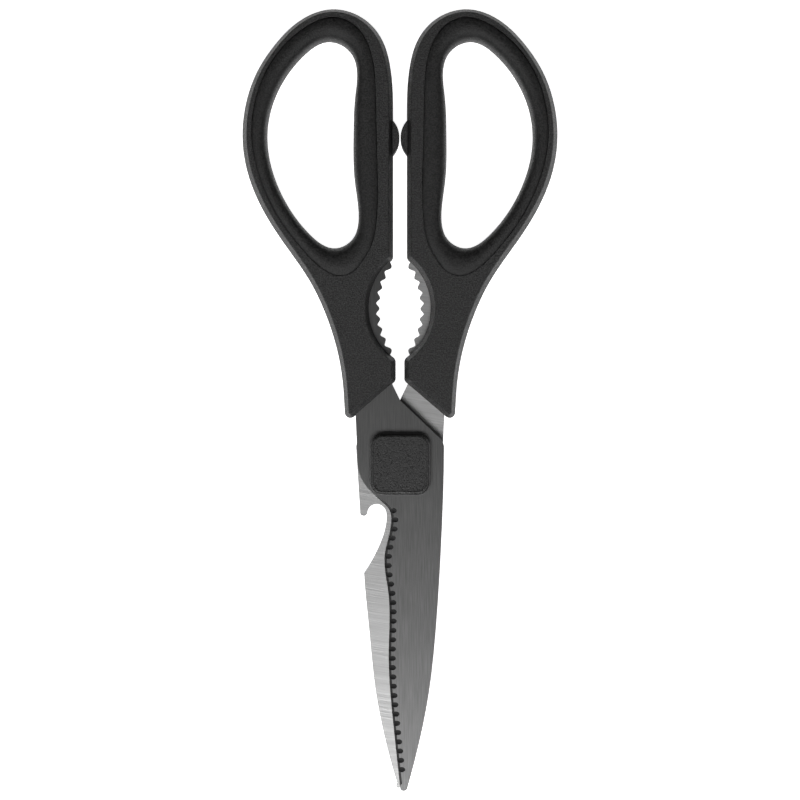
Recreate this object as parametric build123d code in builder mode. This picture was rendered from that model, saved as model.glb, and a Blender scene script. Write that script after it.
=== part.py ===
"""Poultry shears: two stamped blades on one pivot, moulded handles, jaw teeth and a bottle opener.

The front half is the left handle with the front blade, and it carries the whole pivot.
The rear half is the right handle with the rear blade, and it turns about the pivot.
Origin on the pivot axis at the resting plane, +Y to the finger loops, +Z to the cover, millimetres.
"""

from build123d import *
import math
import os

os.makedirs("parts", exist_ok=True)

# ---- stack along the pivot axis, from the resting plane up ----
nut_height = 3.3
spring_thickness = 0.4
spring_rise = 0.15
slide_gap = 0.05  # flat running gap on each side of the rear blade
rear_blade_thickness = 2.8
washer_thickness = 0.15
front_blade_thickness = 2.8
cover_height = 3.0

rear_blade_z = nut_height + spring_thickness + spring_rise + slide_gap
washer_z = rear_blade_z + rear_blade_thickness + slide_gap
front_blade_z = washer_z + washer_thickness
cover_z = front_blade_z + front_blade_thickness
middle_z = (rear_blade_z + cover_z) / 2
grip_thickness = 2 * middle_z

# ---- pivot hardware ----
bolt_head_diameter = 9.5
bolt_head_height = 1.8
bolt_square = 5.5
bolt_shoulder_diameter = 6.0
bolt_thread_diameter = 4.0
bolt_thread_length = 2.2
bolt_edge_break = 0.3
running_clearance = 0.05
thread_clearance = 0.05
key_clearance = 0.05
nut_diameter = 12.0
nut_edge_break = 0.4
nut_bore_spare = 0.3
spanner_hole_diameter = 1.6
spanner_hole_spacing = 7.6
spanner_hole_depth = 1.5
spring_bore_clearance = 0.15
spring_width = 2.0
washer_width = 3.0

# ---- pivot cover ----
cover_width = 17.3
cover_corner = 3.6
cover_wall = 1.3
cover_roof = 1.1
cover_edge_radius = 0.75
cover_lip = 0.35  # flat top of the raised rim
cover_sink = 0.2  # face below the rim
cover_face_radius = 0.12
collar_wall = 1.0
collar_clearance = 0.1
collar_slot = 1.6
snap_depth = 0.25
snap_height = 0.6
snap_z = 0.6  # bottom of the snap groove above the blade face
peg_diameter = 1.8
peg_offset = 5.6
peg_length = 1.4
peg_clearance = 0.05
peg_end_gap = 0.2

# ---- blades, in the front blade's frame: cutting edge at -X, spine at +X ----
blade_reach = 94.0  # pivot axis to tip
front_bevel_width = 0.7
rear_bevel_width = 0.5
edge_land = 0.3  # thickness left at the cutting edge under the bevel
flute_pitch = 2.68
flute_radius = 0.75
flute_length = 2.05  # from the cutting edge, measured on the front face
flute_bite = 0.05  # how far the flutes run into the edge's land
flute_first = 2.5  # along the edge from the top of the heel
flute_tip_margin = 4.5
tang_back_x = 12.8  # outer edge of the tang, from the axis
tang_inner_x = 3.3  # inner edge of the tang, from the middle line
tongue_width = 4.6
tongue_share = 0.4  # how far the tongue reaches up the finger loop
tongue_cover = 2.6  # plastic between the tongue and the handle's inner face
key_hole_diameter = 4.5

# ---- jaw behind the pivot ----
jaw_middle_y = 45.0
jaw_half_opening = 5.9  # middle line to the tooth tips
jaw_tip_radius = 22.7
tooth_pitch = 3.0
tooth_depth = 1.0
tooth_count = 9
recess_half_opening = 8.9
recess_half_length = 14.6

# ---- handles, drawn for the right handle at +X ----
handle_gap = 4.0
neck_gap = 2.5
neck_end = (15.75, 11.7)
neck_top = (16.2, 20.0)
neck_corner_y = 24.1
loop_base_y = 59.9
loop_height = 71.3
loop_width = 43.4
handle_inset = 0.4  # hard face below the crest of the soft grip
side_inset = 1.2
side_slope = 4.0
handle_edge_radius = 0.35
corner_spare = 0.05  # plan radius left at the handle's corners above the slope and edge
rib_half = 4.0
rib_points = 24  # places where the rib's inner edge is set off from the finger hole
grip_wall = 2.2
grip_edge_radius = 3.2
grip_seam_radius = 0.35
stop_radius = 7.3
stop_share = 0.48  # how far up the finger loop the stops are
stop_gap = 0.3  # between the two stops when shut
stop_half = 4.2

handle_half = middle_z - handle_inset
corner_radius = side_inset + handle_edge_radius + corner_spare


def loop_point(across, up):
    """A place on the finger loop, as shares of its width from the inner face and of its height."""
    return (handle_gap / 2 + across * loop_width, loop_base_y + up * loop_height)


def blade_point(x, share):
    """A place on the blade, at a share of its reach from the pivot axis."""
    return (x, -share * blade_reach)


def smooth(points, start, end):
    """One smooth curve through the points, leaving and arriving in the given directions."""
    Spline(points, tangents=(start, end), tangent_scalars=(1, 1))


# ---------------- blade outline ----------------
shoulder_corner = (12.7, 5.2)
spine_tip = blade_point(2.1, 0.992)
rear_spine_tip = blade_point(0.7, 0.983)
edge_tip = blade_point(0.0, 0.988)
heel_start = (-4.6, -11.4)
heel_middle = (-3.0, -13.3)
heel_end = (-2.5, -16.1)
tongue_x = handle_gap / 2 + tongue_cover
tongue_y = loop_base_y + tongue_share * loop_height


def front_spine():
    """The front blade's spine, one long curve from the shoulder, and its round tip."""
    points = [shoulder_corner, blade_point(12.2, 0.163), blade_point(10.3, 0.509)]
    points += [blade_point(8.3, 0.701), spine_tip]
    smooth(points, (0, -1), (-0.28, -1))
    ThreePointArc(spine_tip, blade_point(0.9, 1.0), edge_tip)


def rear_spine():
    """The rear blade's spine: the opener's hook, notch and fulcrum, then the back to a narrow tip."""
    hook_foot = (11.5, -14.2)
    hook_inside = (9.4, -14.0)
    notch_side = (3.85, -15.0)
    fulcrum = (10.4, -31.4)
    Line(shoulder_corner, hook_foot)
    ThreePointArc(hook_foot, (10.5, -14.9), hook_inside)
    smooth([hook_inside, (8.6, -12.2), (6.8, -11.5), (4.7, -12.4), notch_side], (0, 1), (0, -1))
    smooth([notch_side, (4.9, -20.8), (7.5, -26.7), fulcrum], (0, -1), (0.6, -0.8))
    back = [fulcrum, blade_point(9.0, 0.497), blade_point(7.1, 0.691), blade_point(4.5, 0.834)]
    back += [blade_point(2.04, 0.936), rear_spine_tip]
    smooth(back, (-0.05, -1), (-0.31, -1))
    ThreePointArc(rear_spine_tip, blade_point(0.35, 0.994), edge_tip)


def jaw_edge_point(step):
    """A place on the toothed edge, in half pitches from the jaw's middle; even steps are tips."""
    angle = step * tooth_pitch / 2 / jaw_tip_radius
    radius = jaw_tip_radius + (step % 2) * tooth_depth
    centre_x = jaw_tip_radius - jaw_half_opening
    return (centre_x - radius * math.cos(angle), jaw_middle_y + radius * math.sin(angle))


def cutting_edge():
    """The heel and the cutting edge as one curve, from the shoulder down to the tip."""
    points = [heel_start, heel_middle, heel_end, blade_point(-4.4, 0.282), blade_point(-3.4, 0.39)]
    points += [blade_point(-3.25, 0.588), blade_point(-2.0, 0.789), edge_tip]
    smooth(points, (0.81, -0.59), (0.11, -1))


def tang():
    """Everything behind the cutting edge: shoulders, toothed jaw edge and the tongue."""
    jaw_low = jaw_edge_point(-tooth_count)
    jaw_high = jaw_edge_point(tooth_count)
    Spline([jaw_edge_point(step) for step in range(-tooth_count, tooth_count + 1)])
    Polyline(jaw_low, (-tang_inner_x, 29.0), (-tang_inner_x, 25.4), (0.1, 18.4), (10.4, 8.6))
    ThreePointArc((10.4, 8.6), (12.1, 6.9), shoulder_corner)
    tongue_back = (-tongue_x - tongue_width, loop_base_y + 6.0)
    Polyline(
        jaw_high,
        (-tongue_x, loop_base_y + 3.0),
        (-tongue_x, tongue_y),
        (-tongue_x - tongue_width, tongue_y),
        tongue_back,
    )
    tang_low = (-tang_back_x, 14.0)
    smooth([tongue_back, (-16.4, 50.0), (-13.6, 30.0), tang_low], (-0.1, -1), (0, -1))
    Line(tang_low, (-12.2, 0.5))
    ThreePointArc((-12.2, 0.5), (-11.3, -3.6), (-9.0, -7.1))
    Line((-9.0, -7.1), heel_start)


def blade_outline(spine):
    """One blade's closed outline, with the spine that it is given."""
    tang()
    cutting_edge()
    spine()


def cutting_edges_of(face):
    """The edge of a blade face that runs along the heel and the cutting edge."""
    middle = blade_point(-3.3, 0.45)
    return face.edges().sort_by_distance((*middle, face.center().Z))[:1]


key_holes = [(-9.2, 30.0), (-11.8, 46.0), (-tongue_x - tongue_width / 2, loop_base_y + 12.0)]

with BuildLine() as edge_line:
    cutting_edge()

flute_span = edge_line.wire().length - flute_first - flute_tip_margin
flute_count = int(flute_span / flute_pitch) + 1
flute_drop = front_blade_thickness - edge_land + flute_bite
flute_tilt = math.atan2(flute_length, flute_drop)

with BuildPart() as front_blade:
    with BuildSketch(Plane.XY.offset(front_blade_z)):
        with BuildLine():
            blade_outline(front_spine)
        make_face()
        Rectangle(
            bolt_square + 2 * key_clearance,
            bolt_square + 2 * key_clearance,
            mode=Mode.SUBTRACT,
        )
        with Locations(*key_holes):
            Circle(key_hole_diameter / 2, mode=Mode.SUBTRACT)
    extrude(amount=front_blade_thickness)
    front_face = front_blade.faces().filter_by(Plane.XY).sort_by(Axis.Z)[-1]
    chamfer(
        cutting_edges_of(front_face),
        length=front_bevel_width,
        length2=front_blade_thickness - edge_land,
        reference=front_face,
    )
    with Locations((peg_offset, peg_offset, cover_z), (-peg_offset, -peg_offset, cover_z)):
        Hole(peg_diameter / 2 + peg_clearance, depth=peg_length + peg_end_gap)
    flute_axis = Vector(math.sin(flute_tilt), 0, math.cos(flute_tilt))
    flute_side = Vector(-math.cos(flute_tilt), 0, math.sin(flute_tilt)) * flute_radius
    flute_planes = []
    for index in range(flute_count):
        distance = flute_first + index * flute_pitch
        spot = edge_line.wire().position_at(distance, position_mode=PositionMode.LENGTH)
        start = spot + Vector(0, 0, cover_z - flute_drop) + flute_side
        flute_planes.append(Plane(start, z_dir=flute_axis))
    with Locations(*flute_planes):
        Cylinder(flute_radius, 4 * flute_length, mode=Mode.SUBTRACT)
front_blade.part.label = "front_blade"

with BuildPart() as rear_blank:
    with BuildSketch(Plane.XY.offset(rear_blade_z)):
        with BuildLine():
            blade_outline(rear_spine)
        make_face()
        Circle(bolt_shoulder_diameter / 2 + running_clearance, mode=Mode.SUBTRACT)
        with Locations(*key_holes):
            Circle(key_hole_diameter / 2, mode=Mode.SUBTRACT)
    extrude(amount=rear_blade_thickness)
    back_face = rear_blank.faces().filter_by(Plane.XY).sort_by(Axis.Z)[0]
    chamfer(
        cutting_edges_of(back_face),
        length=rear_bevel_width,
        length2=rear_blade_thickness - edge_land,
        reference=back_face,
    )

with BuildPart() as rear_blade:
    mirror(rear_blank.part, about=Plane.YZ)
rear_blade.part.label = "rear_blade"


# ---------------- handles and soft grips ----------------
jaw_low = (neck_gap / 2, jaw_middle_y - recess_half_length)
jaw_high = (handle_gap / 2, jaw_middle_y + recess_half_length - 0.4)
neck_corner = (neck_gap / 2, neck_corner_y)
loop_inner_top = loop_point(0, 0.6185)

loop_outline = [
    loop_inner_top,
    loop_point(0.015, 0.755),
    loop_point(0.071, 0.875),
    loop_point(0.184, 0.957),
    loop_point(0.403, 1.0),
    loop_point(0.611, 0.957),
    loop_point(0.786, 0.856),
    loop_point(0.899, 0.752),
    loop_point(0.977, 0.619),
    loop_point(1.0, 0.492),
    loop_point(0.977, 0.366),
    loop_point(0.899, 0.23),
    loop_point(0.74, 0.067),
    (26.2, 53.2),
    (20.8, 41.7),
    (17.5, 30.2),
    neck_top,
]
# Each closed curve is an outer half from its top to its bottom, then an inner half back up.
hole_outer = [
    loop_point(0.426, 0.872),
    loop_point(0.597, 0.815),
    loop_point(0.728, 0.714),
    loop_point(0.813, 0.593),
    loop_point(0.836, 0.478),
    loop_point(0.793, 0.331),
    loop_point(0.682, 0.189),
    loop_point(0.553, 0.091),
    loop_point(0.389, 0.035),
]
hole_inner = [
    loop_point(0.267, 0.074),
    loop_point(0.23, 0.163),
    loop_point(0.256, 0.31),
    loop_point(0.264, 0.485),
    loop_point(0.253, 0.647),
    loop_point(0.24, 0.745),
    loop_point(0.281, 0.826),
]
seam_outer = [
    loop_point(0.394, 0.9635),
    loop_point(0.564, 0.929),
    loop_point(0.742, 0.837),
    loop_point(0.848, 0.74),
    loop_point(0.915, 0.622),
    loop_point(0.938, 0.5),
    loop_point(0.898, 0.34),
    loop_point(0.735, 0.13),
    loop_point(0.58, 0.011),
    loop_point(0.435, -0.0655),
    loop_point(0.3525, -0.081),
]
seam_inner = [
    loop_point(0.267, -0.066),
    loop_point(0.2, -0.02),
    loop_point(0.14, 0.046),
    loop_point(0.108, 0.142),
    loop_point(0.106, 0.436),
    loop_point(0.113, 0.6465),
    loop_point(0.157, 0.843),
    loop_point(0.24, 0.924),
]


def closed_curve(outer, inner):
    """A smooth closed curve, level at the top and bottom points where its halves meet."""
    smooth(outer, (1, 0), (-1, 0))
    smooth([outer[-1]] + inner + [outer[0]], (-1, 0), (1, 0))


def flat_faces(part):
    """The lowest and the highest flat face of a part."""
    faces = part.faces().filter_by(Plane.XY).sort_by(Axis.Z)
    return [faces[0], faces[-1]]


with BuildSketch() as hole_sketch:
    with BuildLine():
        closed_curve(hole_outer, hole_inner)
    make_face()

with BuildSketch() as seam_sketch:
    with BuildLine():
        closed_curve(seam_outer, seam_inner)
    make_face()


def rib_edge_point(share):
    """A place on the rib's inner edge: the finger hole's outline moved out by the grip's wall."""
    hole_wire = hole_sketch.face().outer_wire()
    along = hole_wire.tangent_at(share)
    return hole_wire.position_at(share) + Vector(-along.Y, along.X) * grip_wall


with BuildSketch() as rib_hole_sketch:
    with BuildLine():
        Spline([rib_edge_point(index / rib_points) for index in range(rib_points)], periodic=True)
    make_face()

with BuildPart() as handle_blank:
    with BuildSketch(Plane.XY.offset(middle_z)) as handle_sketch:
        with BuildLine():
            Polyline(neck_top, neck_end, neck_corner, jaw_low)
            ThreePointArc(jaw_low, (recess_half_opening, jaw_middle_y), jaw_high)
            Line(jaw_high, loop_inner_top)
            smooth(loop_outline, (0, 1), (-0.06, -1))
        make_face()
        for corner in (neck_end, neck_corner, jaw_low, jaw_high):
            fillet(handle_sketch.vertices().sort_by_distance((*corner, 0))[0], corner_radius)
    extrude(amount=handle_half, both=True)
    for end in (0, 1):
        face = flat_faces(handle_blank)[end]
        chamfer(face.edges(), length=side_inset, length2=side_slope, reference=face)
    rims = [face.edges() for face in flat_faces(handle_blank)]
    fillet(rims[0] + rims[1], handle_edge_radius)
    with BuildSketch(Plane.XY.offset(middle_z)):
        stop_y = loop_point(0, stop_share)[1]
        with Locations((stop_gap / 2 + stop_radius, stop_y)):
            Circle(stop_radius)
        with Locations((stop_gap / 2, stop_y)):
            Rectangle(handle_gap, 4 * stop_radius, mode=Mode.INTERSECT)
    extrude(amount=stop_half, both=True)
    for skin_z in (0, middle_z + rib_half):
        with BuildSketch(Plane.XY.offset(skin_z)):
            add(seam_sketch.sketch)
        extrude(amount=middle_z - rib_half, mode=Mode.SUBTRACT)
    with BuildSketch():
        add(rib_hole_sketch.sketch)
    extrude(amount=grip_thickness, mode=Mode.SUBTRACT)

with BuildPart() as grip_blank:
    with BuildSketch():
        add(seam_sketch.sketch)
        add(hole_sketch.sketch, mode=Mode.SUBTRACT)
    extrude(amount=grip_thickness)
    hole_rims = [face.inner_wires()[0].edges() for face in flat_faces(grip_blank)]
    fillet(hole_rims[0] + hole_rims[1], grip_edge_radius)
    seam_rims = [face.outer_wire().edges() for face in flat_faces(grip_blank)]
    fillet(seam_rims[0] + seam_rims[1], grip_seam_radius)
    with BuildSketch(Plane.XY.offset(middle_z)):
        with Locations(loop_point(0.5, 0.5)):
            Rectangle(2 * loop_width, 2 * loop_height)
        add(rib_hole_sketch.sketch, mode=Mode.SUBTRACT)
    extrude(amount=rib_half, both=True, mode=Mode.SUBTRACT)

with BuildPart() as right_handle:
    add(handle_blank.part)
    add(rear_blade.part, mode=Mode.SUBTRACT)
right_handle.part.label = "right_handle"

with BuildPart() as left_handle:
    mirror(handle_blank.part, about=Plane.YZ)
    add(front_blade.part, mode=Mode.SUBTRACT)
left_handle.part.label = "left_handle"

with BuildPart() as right_grip:
    add(grip_blank.part)
right_grip.part.label = "right_grip"

with BuildPart() as left_grip:
    mirror(grip_blank.part, about=Plane.YZ)
left_grip.part.label = "left_grip"


# ---------------- pivot hardware ----------------
with BuildPart() as pivot_bolt:
    with BuildSketch(Plane.XY.offset(nut_height - bolt_thread_length)):
        Circle(bolt_thread_diameter / 2)
    extrude(amount=bolt_thread_length)
    chamfer(pivot_bolt.edges().sort_by(Axis.Z)[0], bolt_edge_break)
    with BuildSketch(Plane.XY.offset(nut_height)):
        Circle(bolt_shoulder_diameter / 2)
    extrude(amount=front_blade_z - nut_height)
    with BuildSketch(Plane.XY.offset(front_blade_z)):
        Rectangle(bolt_square, bolt_square)
    extrude(amount=front_blade_thickness)
    with BuildSketch(Plane.XY.offset(cover_z)):
        Circle(bolt_head_diameter / 2)
    extrude(amount=bolt_head_height)
    fillet(pivot_bolt.edges().sort_by(Axis.Z)[-1], bolt_edge_break)
    with BuildSketch(Plane.XY.offset(cover_z + snap_z)):
        Circle(bolt_head_diameter / 2)
        Circle(bolt_head_diameter / 2 - snap_depth, mode=Mode.SUBTRACT)
    extrude(amount=snap_height, mode=Mode.SUBTRACT)
pivot_bolt.part.label = "pivot_bolt"

with BuildPart() as pivot_nut:
    with BuildSketch():
        Circle(nut_diameter / 2)
    extrude(amount=nut_height)
    chamfer(pivot_nut.edges().sort_by(Axis.Z)[0], nut_edge_break)
    with BuildSketch(Plane.XY.offset(nut_height)):
        Circle(bolt_thread_diameter / 2 + thread_clearance)
    extrude(amount=-bolt_thread_length - nut_bore_spare, mode=Mode.SUBTRACT)
    with BuildSketch():
        with Locations((0, spanner_hole_spacing / 2), (0, -spanner_hole_spacing / 2)):
            Circle(spanner_hole_diameter / 2)
    extrude(amount=spanner_hole_depth, mode=Mode.SUBTRACT)
pivot_nut.part.label = "pivot_nut"

with BuildPart() as disc_spring:
    with BuildSketch(Plane.XZ):
        bore = bolt_shoulder_diameter / 2 + spring_bore_clearance
        rim = bore + spring_width
        with BuildLine():
            Polyline(
                (bore, nut_height),
                (rim, nut_height + spring_rise),
                (rim, nut_height + spring_rise + spring_thickness),
                (bore, nut_height + spring_thickness),
                close=True,
            )
        make_face()
    revolve(axis=Axis.Z)
disc_spring.part.label = "disc_spring"

with BuildPart() as blade_washer:
    with BuildSketch(Plane.XY.offset(washer_z)):
        Circle(bolt_shoulder_diameter / 2 + running_clearance + washer_width)
        Circle(bolt_shoulder_diameter / 2 + running_clearance, mode=Mode.SUBTRACT)
    extrude(amount=washer_thickness)
blade_washer.part.label = "blade_washer"

with BuildPart() as pivot_cover:
    with BuildSketch(Plane.XY.offset(cover_z)):
        RectangleRounded(cover_width, cover_width, cover_corner)
    extrude(amount=cover_height)
    fillet(flat_faces(pivot_cover)[1].edges(), cover_edge_radius)
    with BuildSketch(Plane.XY.offset(cover_z + cover_height)):
        rim = cover_edge_radius + cover_lip
        RectangleRounded(cover_width - 2 * rim, cover_width - 2 * rim, cover_corner - rim)
    extrude(amount=-cover_sink, mode=Mode.SUBTRACT)
    fillet(flat_faces(pivot_cover)[1].edges(), cover_face_radius)
    with BuildSketch(Plane.XY.offset(cover_z)):
        inside = cover_width - 2 * cover_wall
        RectangleRounded(inside, inside, cover_corner - cover_wall)
    extrude(amount=cover_height - cover_roof, mode=Mode.SUBTRACT)
    with BuildSketch(Plane.XY.offset(cover_z)) as collar_sketch:
        collar_bore = bolt_head_diameter / 2 + collar_clearance
        Circle(collar_bore + collar_wall)
        Circle(collar_bore, mode=Mode.SUBTRACT)
        Rectangle(collar_slot, cover_width, mode=Mode.SUBTRACT)
        Rectangle(cover_width, collar_slot, mode=Mode.SUBTRACT)
    extrude(amount=cover_height - cover_roof)
    with BuildSketch(Plane.XY.offset(cover_z + snap_z + collar_clearance)):
        Circle(collar_bore)
        Circle(bolt_head_diameter / 2 - snap_depth + collar_clearance, mode=Mode.SUBTRACT)
        Rectangle(collar_slot, cover_width, mode=Mode.SUBTRACT)
        Rectangle(cover_width, collar_slot, mode=Mode.SUBTRACT)
    extrude(amount=snap_height - 2 * collar_clearance)
    with BuildSketch(Plane.XY.offset(cover_z + cover_height - cover_roof)):
        with Locations((peg_offset, peg_offset), (-peg_offset, -peg_offset)):
            Circle(peg_diameter / 2)
    extrude(amount=-(cover_height - cover_roof + peg_length))
pivot_cover.part.label = "pivot_cover"


for piece in (
    front_blade,
    rear_blade,
    left_handle,
    right_handle,
    left_grip,
    right_grip,
    pivot_bolt,
    pivot_nut,
    disc_spring,
    blade_washer,
    pivot_cover,
):
    export_step(piece.part, f"parts/{piece.part.label}.step")
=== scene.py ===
"""Looks for the poultry shears: the soft grips, the materials and a plain studio."""

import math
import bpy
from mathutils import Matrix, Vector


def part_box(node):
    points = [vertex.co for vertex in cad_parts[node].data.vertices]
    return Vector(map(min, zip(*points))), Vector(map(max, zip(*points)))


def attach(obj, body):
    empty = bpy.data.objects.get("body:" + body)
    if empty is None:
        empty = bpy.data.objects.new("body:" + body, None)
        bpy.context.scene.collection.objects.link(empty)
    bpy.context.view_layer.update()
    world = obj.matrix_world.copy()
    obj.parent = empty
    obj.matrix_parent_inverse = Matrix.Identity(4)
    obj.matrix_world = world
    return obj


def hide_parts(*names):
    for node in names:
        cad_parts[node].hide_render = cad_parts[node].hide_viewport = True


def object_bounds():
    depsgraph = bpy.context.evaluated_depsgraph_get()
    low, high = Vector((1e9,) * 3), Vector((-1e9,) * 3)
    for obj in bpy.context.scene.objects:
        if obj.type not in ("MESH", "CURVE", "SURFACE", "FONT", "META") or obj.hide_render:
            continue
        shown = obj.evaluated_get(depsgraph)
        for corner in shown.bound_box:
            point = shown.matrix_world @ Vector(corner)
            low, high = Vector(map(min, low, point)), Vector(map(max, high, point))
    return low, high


bl_info = {
    "name": "Poultry shears",
    "version": (1, 0, 0),
    "blender": (4, 5, 0),
    "location": "3D View > Sidebar > Shears",
    "description": "Builds the soft grips, the materials and a plain studio",
    "category": "Object",
}

import bpy
from mathutils import Vector

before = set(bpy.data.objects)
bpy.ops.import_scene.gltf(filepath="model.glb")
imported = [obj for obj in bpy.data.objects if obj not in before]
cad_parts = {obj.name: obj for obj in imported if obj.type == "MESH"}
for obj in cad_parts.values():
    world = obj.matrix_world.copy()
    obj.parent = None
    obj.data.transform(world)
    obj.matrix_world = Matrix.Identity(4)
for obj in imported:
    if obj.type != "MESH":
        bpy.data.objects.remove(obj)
CAD_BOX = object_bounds()

MM = 0.001
LOOP_STATIONS = 180  # places round a finger loop
GRIP_WALL = 2.2 * MM  # elastomer between the finger hole and the rib
RIB_HALF = 4.0 * MM  # half the thickness of the rib under the grip
SEAM_DEPTH = 1.5 * MM  # how far under the grip's top its outer wall is measured
SMOOTH_ANGLE = math.radians(40)  # edges sharper than this stay sharp
GRAIN_GLOSS = 0.16  # how much the grain's pits and tops differ in roughness
SIDE_ROUGHNESS = 0.62  # the moulds' drafted sides are duller than their flats
PLASTIC_PATCH = 14 * MM  # size of the slow changes in the plastics' gloss
STEEL_PATCH = 20 * MM  # size of the slow changes in the steel's tone
RUBBED_EDGE = 0.5 * MM  # reach of the rubbed band along an edge
SKIN_ROUGHNESS = 0.85  # the steel's bevels, flutes and stamped edges
SIDES = {"left": "front_half", "right": "rear_half"}

# Each light's name, place (x and y from the shears' middle), width and height, and watts.
SOFTBOXES = (
    ("softbox_foot", (-0.12, -0.62, 1.05), (0.9, 0.45), 14),
    ("softbox_left", (-0.85, -0.1, 0.4), (0.4, 0.9), 1.5),
    ("softbox_right", (0.85, 0.05, 0.35), (0.4, 0.9), 1.5),
)
FLOOR_SIZE = 3.0
FLOOR_GAP = 0.2 * MM  # between the floor and the shears
FLOOR_WHITE = (0.9, 0.9, 0.9, 1)
WORLD_STRENGTH = 0.03
SENSOR_WIDTH = 36.0  # in millimetres, as the camera takes it
CLIP_END = 10


# ---------------- sizes and colours a user would change ----------------
class ShearsSettings(bpy.types.PropertyGroup):
    """Sizes and colours of the shears."""

    handle_colour: bpy.props.StringProperty(
        name="Handle", description="Hard handle plastic, sRGB hex", default="#161616"
    )
    grip_colour: bpy.props.StringProperty(
        name="Grip", description="Soft grip elastomer, sRGB hex", default="#111111"
    )
    cover_colour: bpy.props.StringProperty(
        name="Cover", description="Pivot cover plastic, sRGB hex", default="#151515"
    )
    # front_steel is darker than rear_steel though both blades are the same stainless: painted
    # shade for the dark that the front blade reflects from overhead
    front_steel: bpy.props.StringProperty(
        name="Front blade", description="Satin front blade steel, sRGB hex", default="#858585"
    )
    rear_steel: bpy.props.StringProperty(
        name="Rear blade", description="Ground rear blade steel, sRGB hex", default="#A2A2A2"
    )
    grain: bpy.props.FloatProperty(
        name="Grain",
        description="Size of the plastic's grain",
        default=0.44 * MM,
        unit="LENGTH",
    )
    brush_pitch: bpy.props.FloatProperty(
        name="Brush lines",
        description="Spacing of the front blade's lines",
        default=0.22 * MM,
        unit="LENGTH",
    )
    grind_pitch: bpy.props.FloatProperty(
        name="Grinding lines",
        description="Spacing of the rear blade's lines",
        default=0.4 * MM,
        unit="LENGTH",
    )
    grind_angle: bpy.props.FloatProperty(
        name="Grinding angle",
        description="Turn of the rear blade's lines from its length",
        default=math.radians(80),
        unit="ROTATION",
    )
    lens: bpy.props.FloatProperty(
        name="Lens", description="Camera focal length in mm", default=150.0
    )
    view_width: bpy.props.FloatProperty(
        name="View width",
        description="Width of the view at the blades",
        default=230.4 * MM,
        unit="LENGTH",
    )


# ---------------- small helpers ----------------
def linear(colour):
    """An sRGB hex colour as linear RGBA."""
    channels = [int(colour[i : i + 2], 16) / 255 for i in (1, 3, 5)]
    rgb = [c / 12.92 if c <= 0.04045 else ((c + 0.055) / 1.055) ** 2.4 for c in channels]
    return rgb + [1.0]


def node(tree, kind, links=None, **settings):
    """Adds a shader node, sets its options or inputs and links inputs to (node, output) pairs."""
    made = tree.nodes.new(kind)
    for name, value in settings.items():
        if hasattr(made, name):
            setattr(made, name, value)
        else:
            made.inputs[name.replace("_", " ")].default_value = value
    for name, (source, output) in (links or {}).items():
        tree.links.new(source.outputs[output], made.inputs[name])
    return made


def new_material(name):
    """An empty node material with its output."""
    material = bpy.data.materials.new(name)
    material.use_nodes = True
    material.node_tree.nodes.clear()
    return material, material.node_tree


def put_material(obj, material):
    """Gives obj one material."""
    obj.data.materials.clear()
    obj.data.materials.append(material)


# ---------------- materials ----------------
def finish_material(tree, links, **settings):
    """The surface shader and the output that end every material here."""
    surface = node(tree, "ShaderNodeBsdfPrincipled", links, **settings)
    node(tree, "ShaderNodeOutputMaterial", {"Surface": (surface, "BSDF")})


def remap(tree, source, output, low, high, to_low, to_high):
    """A source's range from low to high, mapped to another range and held there."""
    return node(
        tree,
        "ShaderNodeMapRange",
        {"Value": (source, output)},
        From_Min=low,
        From_Max=high,
        To_Min=to_low,
        To_Max=to_high,
    )


def product(tree, first, second):
    """Two map ranges multiplied."""
    factors = {0: (first, "Result"), 1: (second, "Result")}
    return node(tree, "ShaderNodeMath", factors, operation="MULTIPLY")


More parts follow.
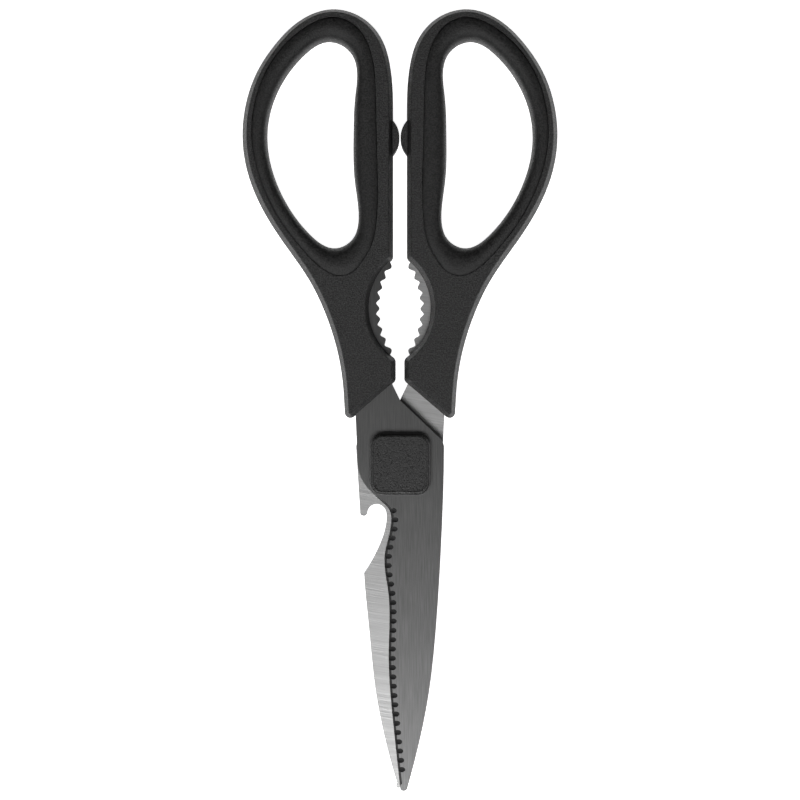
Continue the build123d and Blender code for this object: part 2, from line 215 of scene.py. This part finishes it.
def moulded_plastic(name, hex_colour, grain, contrast, depth, rough, ior):
    """Moulded plastic or elastomer: a fine spark-eroded grain that breaks the highlights up,
    slow patches where the gloss changes, and edges rubbed a little lighter. The real grain is
    too fine to show at this distance, so it is drawn as coarse as it needs to be to show."""
    material, tree = new_material(name)
    place = node(tree, "ShaderNodeTexCoord")
    spot = {"Vector": (place, "Object")}
    fine = node(tree, "ShaderNodeTexNoise", spot, Scale=1 / grain, Detail=3.0, Roughness=0.7)
    slow = node(tree, "ShaderNodeTexNoise", spot, Scale=1 / PLASTIC_PATCH, Detail=2.0)
    bevel = node(tree, "ShaderNodeBevel", Radius=RUBBED_EDGE)
    plain = node(tree, "ShaderNodeNewGeometry")
    bend = node(
        tree,
        "ShaderNodeVectorMath",
        {0: (bevel, "Normal"), 1: (plain, "Normal")},
        operation="DOT_PRODUCT",
    )
    wear = remap(tree, bend, "Value", 0.8, 1.0, 1.0, 0.0)
    speck = remap(tree, fine, "Fac", 0.45, 0.59, 1 - contrast, 1 + 3.2 * contrast)
    patch = remap(tree, slow, "Fac", 0.3, 0.7, 0.92, 1.08)
    rubbed = remap(tree, wear, "Result", 0.0, 1.0, 1.0, 1.25)
    tone = product(tree, speck, patch)
    factors = {0: (tone, "Value"), 1: (rubbed, "Result")}
    worn_tone = node(tree, "ShaderNodeMath", factors, operation="MULTIPLY")
    colour = node(tree, "ShaderNodeVectorMath", {1: (worn_tone, "Value")}, operation="MULTIPLY")
    colour.inputs[0].default_value = linear(hex_colour)[:3]
    parts = node(tree, "ShaderNodeSeparateXYZ", {"Vector": (place, "Normal")})
    upright = node(tree, "ShaderNodeMath", {0: (parts, "Z")}, operation="ABSOLUTE")
    patchy = remap(tree, slow, "Fac", 0.3, 0.7, -0.04, 0.04)
    drafted = remap(tree, upright, "Value", 0.2, 0.8, SIDE_ROUGHNESS, rough)
    specks = remap(tree, fine, "Fac", 0.4, 0.6, -GRAIN_GLOSS, GRAIN_GLOSS)
    terms = {0: (patchy, "Result"), 1: (drafted, "Result")}
    dull = node(tree, "ShaderNodeMath", terms, operation="ADD")
    terms = {0: (dull, "Value"), 1: (specks, "Result")}
    gloss = node(tree, "ShaderNodeMath", terms, operation="ADD")
    bump = node(tree, "ShaderNodeBump", {"Height": (fine, "Fac")}, Strength=1.0, Distance=depth)
    links = {
        "Base Color": (colour, "Vector"),
        "Roughness": (gloss, "Value"),
        "Normal": (bump, "Normal"),
    }
    finish_material(tree, links, IOR=ior)
    return material


def lined_steel(name, hex_colour, pitch, angle, contrast, rough, stretch, edge_shade, depth):
    """Steel finished with fine parallel lines, which spread its highlights across them.
    Bevels, flutes and stamped edges get painted shade: their colour is darkened by edge_shade to
    stand in for the dark they reflect, and they are duller and not metallic. Angle turns the lines
    from the length. Real lines are too fine to show, so they are drawn as coarse as they need to
    be."""
    material, tree = new_material(name)
    place = node(tree, "ShaderNodeTexCoord")
    spot = {"Vector": (place, "Object")}
    turned = node(tree, "ShaderNodeMapping", spot, Rotation=(0, 0, -angle))
    stretched = node(
        tree,
        "ShaderNodeMapping",
        {"Vector": (turned, "Vector")},
        Scale=(1 / pitch, 1 / (stretch * pitch), 1 / (4 * pitch)),
    )
    along = {"Vector": (stretched, "Vector")}
    lines = node(tree, "ShaderNodeTexNoise", along, Scale=1.0, Detail=3.0, Roughness=0.6)
    slow = node(tree, "ShaderNodeTexNoise", spot, Scale=1 / STEEL_PATCH, Detail=2.0)
    parts = node(tree, "ShaderNodeSeparateXYZ", {"Vector": (place, "Normal")})
    upright = node(tree, "ShaderNodeMath", {0: (parts, "Z")}, operation="ABSOLUTE")
    flat = remap(tree, upright, "Value", 0.9, 0.98, 0.0, 1.0)
    tone = remap(tree, lines, "Fac", 0.35, 0.65, 1 - contrast, 1 + contrast)
    patch = remap(tree, slow, "Fac", 0.3, 0.7, 0.96, 1.04)
    # painted shade: bevels, flutes and stamped edges darkened by edge_shade, standing in for the
    # dark they reflect
    painted_edge_shade = remap(tree, flat, "Result", 0.0, 1.0, edge_shade, 1.0)
    both = product(tree, tone, patch)
    factors = {0: (both, "Value"), 1: (painted_edge_shade, "Result")}
    tones = node(tree, "ShaderNodeMath", factors, operation="MULTIPLY")
    colour = node(tree, "ShaderNodeVectorMath", {1: (tones, "Value")}, operation="MULTIPLY")
    colour.inputs[0].default_value = linear(hex_colour)[:3]
    gloss = remap(tree, flat, "Result", 0.0, 1.0, SKIN_ROUGHNESS, rough)
    metal = remap(tree, flat, "Result", 0.0, 1.0, 0.0, 1.0)
    bump = node(tree, "ShaderNodeBump", {"Height": (lines, "Fac")}, Strength=1.0, Distance=depth)
    links = {
        "Base Color": (colour, "Vector"),
        "Roughness": (gloss, "Result"),
        "Metallic": (metal, "Result"),
        "Normal": (bump, "Normal"),
    }
    finish_material(tree, links)
    return material


# ---------------- soft grips ----------------
def loop_edges(grip, centre, angle, half):
    """Distances from the loop's centre to the finger hole's wall and the seam, at one angle."""
    away = Vector((math.cos(angle), math.sin(angle), 0))
    far = 2 * max(grip.dimensions)
    hit, spot, _, _ = grip.ray_cast(centre, away)
    outside = centre + away * far + Vector((0, 0, half - SEAM_DEPTH))
    hit_far, seam, _, _ = grip.ray_cast(outside, -away)
    if not (hit and hit_far):
        raise RuntimeError("the grip's ring was not found at one angle")
    return (spot - centre).length, (seam - centre).xy.length


# The grip's section from its seam to the finger hole: share of the way across, and height above
# the middle plane as a share of the crest's height.
CREST_ROWS = [
    (0.0, 0.87),
    (0.015, 0.905),
    (0.05, 0.93),
    (0.15, 0.965),
    (0.28, 0.99),
    (0.42, 1.0),
    (0.54, 0.985),
    (0.66, 0.96),
    (0.77, 0.915),
    (0.86, 0.83),
    (0.925, 0.7),
    (0.97, 0.5),
    (0.993, 0.25),
    (1.0, 0.0),
]


def grip_rows(half, wall, rib):
    """The grip's closed section as (share across, or None; height; distance out from the hole)."""
    upper = [(across, share * half, 0.0) for across, share in CREST_ROWS]
    lower = [(across, -height, 0.0) for across, height, _ in reversed(upper[:-1])]
    channel = [(0.0, -rib, 0.0), (None, -rib, wall), (None, rib, wall), (0.0, rib, 0.0)]
    return upper + lower + channel


def place_ring(ring, vertices, row, reach, centre):
    """Puts one ring's vertices on one row of the section."""
    across, height, from_hole = row
    for vertex in vertices:
        flat = vertex.co - centre
        turn = math.atan2(flat.y, flat.x) / (2 * math.pi)
        index = round(turn * LOOP_STATIONS) % LOOP_STATIONS
        hole, seam = reach[index]
        radius = hole + from_hole if across is None else seam + across * (hole - seam)
        angle = 2 * math.pi * index / LOOP_STATIONS
        offset = Vector((radius * math.cos(angle), radius * math.sin(angle), height))
        vertex.co = centre + offset


def build_grip(side):
    """One soft grip: a ring whose section is a low dome, wrapped over the handle's rib."""
    name = f"{side}_grip"
    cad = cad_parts[name]
    low, high = [Vector(corner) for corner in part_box(name)]
    centre = (low + high) / 2
    half = (high.z - low.z) / 2
    reach = [
        loop_edges(cad, centre, 2 * math.pi * index / LOOP_STATIONS, half)
        for index in range(LOOP_STATIONS)
    ]
    rows = grip_rows(half, GRIP_WALL, RIB_HALF)
    bpy.ops.mesh.primitive_circle_add(vertices=LOOP_STATIONS, radius=1.0, location=centre)
    ring = bpy.context.object
    ring.name = f"{name}_soft"
    bpy.ops.object.transform_apply(location=True, rotation=True, scale=True)
    place_ring(ring, ring.data.vertices, rows[0], reach, centre)
    for row in rows[1:]:
        bpy.ops.object.mode_set(mode="EDIT")
        if row is rows[1]:
            bpy.ops.mesh.select_all(action="SELECT")
        bpy.ops.mesh.extrude_edges_move()
        bpy.ops.object.mode_set(mode="OBJECT")
        place_ring(ring, [v for v in ring.data.vertices if v.select], row, reach, centre)
    bpy.ops.object.mode_set(mode="EDIT")
    bpy.ops.mesh.select_mode(type="EDGE")
    bpy.ops.mesh.select_all(action="DESELECT")
    bpy.ops.mesh.select_non_manifold()
    bpy.ops.mesh.bridge_edge_loops()
    bpy.ops.mesh.select_all(action="SELECT")
    bpy.ops.mesh.normals_make_consistent(inside=False)
    bpy.ops.mesh.select_mode(type="VERT")
    bpy.ops.object.mode_set(mode="OBJECT")
    bpy.ops.object.shade_smooth_by_angle(angle=SMOOTH_ANGLE)
    return ring


class SHEARS_OT_grips(bpy.types.Operator):
    """Builds both soft grips over the handles' ribs"""

    bl_idname = "shears.grips"
    bl_label = "Soft grips"

    def execute(self, context):
        settings = context.scene.shears
        elastomer = moulded_plastic(
            "soft-touch TPE, fine matt grain",
            settings.grip_colour,
            settings.grain,
            contrast=0.8,
            depth=0.2 * MM,
            rough=0.52,
            ior=1.4,
        )
        for side, body in SIDES.items():
            grip = build_grip(side)
            put_material(grip, elastomer)
            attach(grip, body)
            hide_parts(f"{side}_grip")
        return {"FINISHED"}


# ---------------- handles, blades and pivot ----------------
class SHEARS_OT_handles(bpy.types.Operator):
    """Finishes the hard handles"""

    bl_idname = "shears.handles"
    bl_label = "Handles"

    def execute(self, context):
        settings = context.scene.shears
        plastic = moulded_plastic(
            "moulded glass-filled nylon, spark-eroded grain",
            settings.handle_colour,
            settings.grain,
            contrast=0.95,
            depth=0.3 * MM,
            rough=0.5,
            ior=1.46,
        )
        for side in SIDES:
            put_material(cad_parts[f"{side}_handle"], plastic)
        return {"FINISHED"}


class SHEARS_OT_blades(bpy.types.Operator):
    """Finishes both blades"""

    bl_idname = "shears.blades"
    bl_label = "Blades"

    def execute(self, context):
        settings = context.scene.shears
        satin = lined_steel(
            "satin stainless, brushed lengthwise",
            settings.front_steel,
            settings.brush_pitch,
            angle=0.0,
            contrast=0.14,
            rough=0.29,
            stretch=40,
            edge_shade=0.03,
            depth=0.003 * MM,
        )
        ground = lined_steel(
            "stainless, ground crosswise",
            settings.rear_steel,
            settings.grind_pitch,
            angle=settings.grind_angle,
            contrast=0.1,
            rough=0.42,
            stretch=60,
            edge_shade=0.3,
            depth=0.035 * MM,
        )
        put_material(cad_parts["front_blade"], satin)
        put_material(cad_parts["rear_blade"], ground)
        return {"FINISHED"}


class SHEARS_OT_pivot(bpy.types.Operator):
    """Finishes the pivot's bolt, nut, spring and washer"""

    bl_idname = "shears.pivot"
    bl_label = "Pivot"

    def execute(self, context):
        settings = context.scene.shears
        turned = lined_steel(
            "turned stainless",
            settings.rear_steel,
            settings.brush_pitch,
            angle=math.radians(30),
            contrast=0.08,
            rough=0.3,
            stretch=20,
            edge_shade=0.7,
            depth=0.004 * MM,
        )
        spring = lined_steel(
            "blued spring steel",
            settings.front_steel,
            settings.brush_pitch,
            angle=math.radians(60),
            contrast=0.06,
            rough=0.35,
            stretch=20,
            edge_shade=0.7,
            depth=0.004 * MM,
        )
        acetal = moulded_plastic(
            "natural acetal",
            "#D8D8D2",
            settings.grain,
            contrast=0.03,
            depth=0.01 * MM,
            rough=0.4,
            ior=1.48,
        )
        for name, material in (
            ("pivot_bolt", turned),
            ("pivot_nut", turned),
            ("disc_spring", spring),
            ("blade_washer", acetal),
        ):
            put_material(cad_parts[name], material)
        return {"FINISHED"}


class SHEARS_OT_cover(bpy.types.Operator):
    """Finishes the square pivot cover"""

    bl_idname = "shears.cover"
    bl_label = "Pivot cover"

    def execute(self, context):
        settings = context.scene.shears
        plastic = moulded_plastic(
            "moulded nylon cover, fine grain",
            settings.cover_colour,
            settings.grain,
            contrast=0.6,
            depth=0.1 * MM,
            rough=0.48,
            ior=1.46,
        )
        put_material(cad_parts["pivot_cover"], plastic)
        return {"FINISHED"}


# ---------------- stage ----------------
def area_light(name, place, target, size, power):
    """A rectangular soft light aimed at a place."""
    bpy.ops.object.light_add(type="AREA", location=place)
    light = bpy.context.object
    light.name = name
    light.data.shape = "RECTANGLE"
    light.data.size, light.data.size_y = size
    light.data.energy = power
    aim = Vector(target) - Vector(place)
    light.rotation_euler = aim.to_track_quat("-Z", "Y").to_euler()


class SHEARS_OT_stage(bpy.types.Operator):
    """Adds the pale floor, the soft lights and the camera"""

    bl_idname = "shears.stage"
    bl_label = "Stage"

    def execute(self, context):
        settings = context.scene.shears
        scene = context.scene
        low, high = [Vector(corner) for corner in CAD_BOX]
        centre = (low + high) / 2
        bpy.ops.mesh.primitive_plane_add(
            size=FLOOR_SIZE, location=(centre.x, centre.y, low.z - FLOOR_GAP)
        )
        floor = bpy.context.object
        floor.name = "floor"
        material, tree = new_material("white acrylic light table")
        glow = node(tree, "ShaderNodeEmission", Color=(1, 1, 1, 1), Strength=1.0)
        matt = node(tree, "ShaderNodeBsdfDiffuse", Color=FLOOR_WHITE)
        both = node(tree, "ShaderNodeAddShader", {0: (glow, "Emission"), 1: (matt, "BSDF")})
        node(tree, "ShaderNodeOutputMaterial", {"Surface": (both, "Shader")})
        put_material(floor, material)

        world = bpy.data.worlds.new("studio")
        scene.world = world
        world.use_nodes = True
        background = world.node_tree.nodes["Background"]
        background.inputs["Color"].default_value = (1, 1, 1, 1)
        background.inputs["Strength"].default_value = WORLD_STRENGTH

        target = (centre.x, centre.y, 0)
        for name, (across, along, height), size, power in SOFTBOXES:
            place = (centre.x + across, centre.y + along, height)
            area_light(name, place, target, size, power)

        distance = settings.lens / SENSOR_WIDTH * settings.view_width
        _, blade_high = [Vector(corner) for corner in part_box("front_blade")]
        bpy.ops.object.camera_add(
            location=(centre.x, centre.y, blade_high.z + distance), rotation=(0, 0, 0)
        )
        camera = bpy.context.object
        camera.data.sensor_width = SENSOR_WIDTH
        camera.data.lens = settings.lens
        camera.data.clip_end = CLIP_END
        scene.camera = camera
        scene.view_settings.view_transform = "Standard"
        return {"FINISHED"}


class SHEARS_PT_panel(bpy.types.Panel):
    """Sizes, colours and build steps"""

    bl_label = "Shears"
    bl_idname = "SHEARS_PT_panel"
    bl_space_type = "VIEW_3D"
    bl_region_type = "UI"
    bl_category = "Shears"

    def draw(self, context):
        settings = context.scene.shears
        for name in ShearsSettings.__annotations__:
            self.layout.prop(settings, name)
        for operator in OPERATORS:
            self.layout.operator(operator.bl_idname)


OPERATORS = (
    SHEARS_OT_handles,
    SHEARS_OT_grips,
    SHEARS_OT_blades,
    SHEARS_OT_pivot,
    SHEARS_OT_cover,
    SHEARS_OT_stage,
)
CLASSES = (ShearsSettings, *OPERATORS, SHEARS_PT_panel)


def register():
    """Adds the classes and the scene's settings."""
    for kind in CLASSES:
        bpy.utils.register_class(kind)
    bpy.types.Scene.shears = bpy.props.PointerProperty(type=ShearsSettings)


def unregister():
    """Takes the classes and the settings away again."""
    del bpy.types.Scene.shears
    for kind in reversed(CLASSES):
        bpy.utils.unregister_class(kind)


def main():
    """Builds everything in order."""
    register()
    bpy.ops.shears.handles()
    bpy.ops.shears.grips()
    bpy.ops.shears.blades()
    bpy.ops.shears.pivot()
    bpy.ops.shears.cover()
    bpy.ops.shears.stage()


if __name__ == "__main__":
    main()
